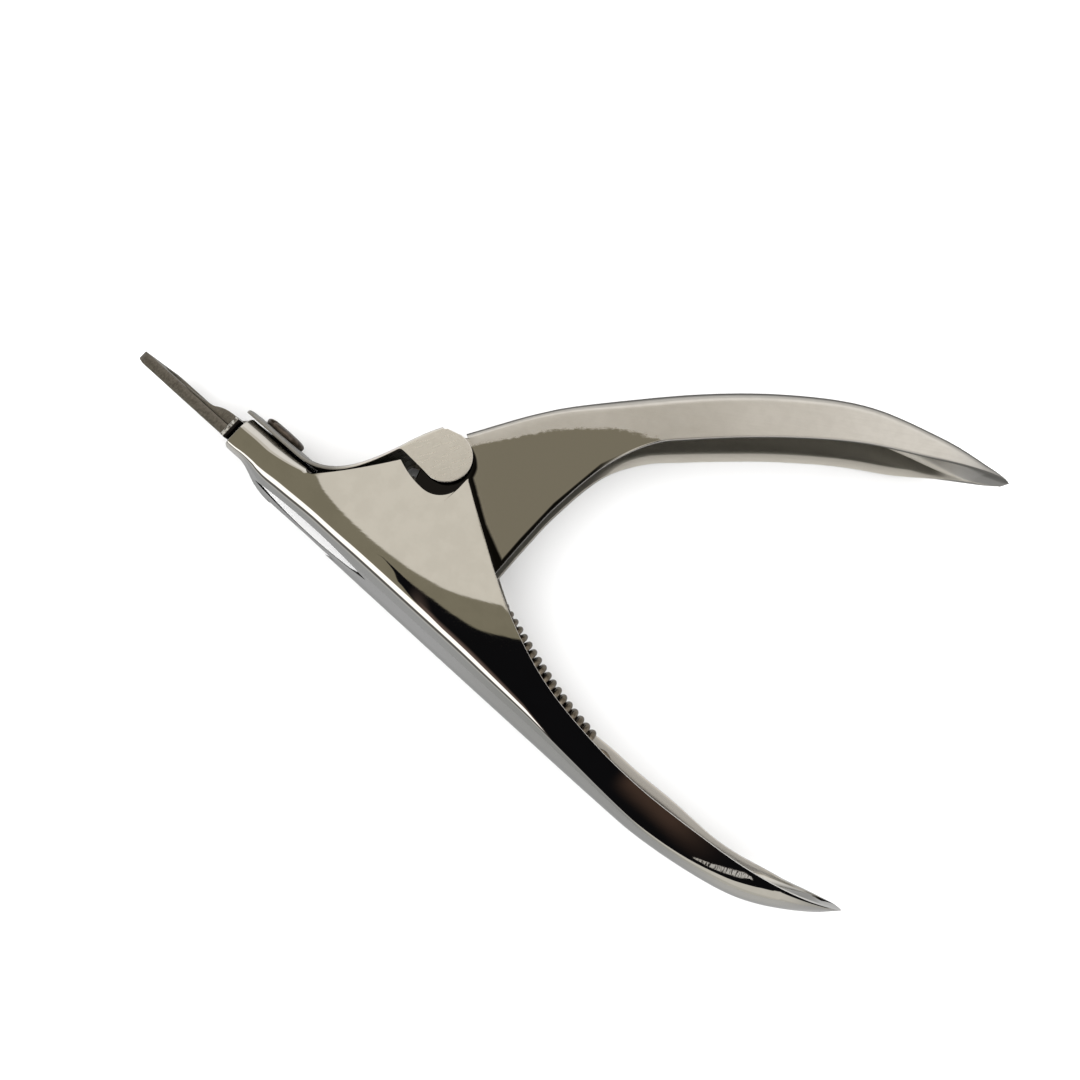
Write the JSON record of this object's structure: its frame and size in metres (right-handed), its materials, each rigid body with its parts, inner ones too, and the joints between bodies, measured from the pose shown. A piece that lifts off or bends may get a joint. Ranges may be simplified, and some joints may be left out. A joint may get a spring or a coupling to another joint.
{
  "type": "nail clipper",
  "caption": "Guillotine clipper for artificial nail tips: two curved handles, a guard plate with a nail opening and a blade that slides over it.",
  "frame": {"origin": "middle of the clipper's outline, on the face of the body that the clipper lies on", "axes": "+X from the guard plate to the tip of the lower handle, +Y from the lower to the upper handle, +Z across the width, up when the clipper lies on its side"},
  "size_m": [0.1272, 0.0748, 0.013],
  "materials": {
    "polished_steel": "mirror polished stainless steel with fine scratches",
    "satin_steel": "satin stainless steel, fine lengthwise grain",
    "ground_steel": "dull ground stainless steel",
    "dark_steel": "dark, slightly worn screw steel",
    "spring_steel": "drawn spring wire"
  },
  "bodies": {
    "frame": {"body_frame": "polished_steel", "cover_strap": "satin_steel", "guard_plate": "ground_steel", "spacer_block": "satin_steel", "clamp_screw": "dark_steel", "pivot_pin": "ground_steel", "pivot_washer_near": "ground_steel", "pivot_washer_far": "ground_steel", "spring_anchor_pin": "ground_steel", "return_spring": "spring_steel"},
    "lever": {"lever_handle": "satin_steel", "drive_pin": "ground_steel", "spring_hook_pin": "ground_steel"},
    "blade": {"cutting_blade": "ground_steel"}
  },
  "joints": [
    {"name": "lever_hinge", "type": "hinge", "parent": "frame", "child": "lever", "pos_m": [-0.01883, -0.01494, 0.0065], "axis": [0, 0, -1], "range_deg": [0, 26], "deforming": ["return_spring"]},
    {"name": "blade_slide", "type": "slide", "parent": "frame", "child": "blade", "axis": [-1, 0, 0], "range_m": [0, 0.00765]}
  ],
  "couplings": [
    {"joint": "blade_slide", "follows": "lever_hinge", "m_per_rad": 0.01681}
  ]
}
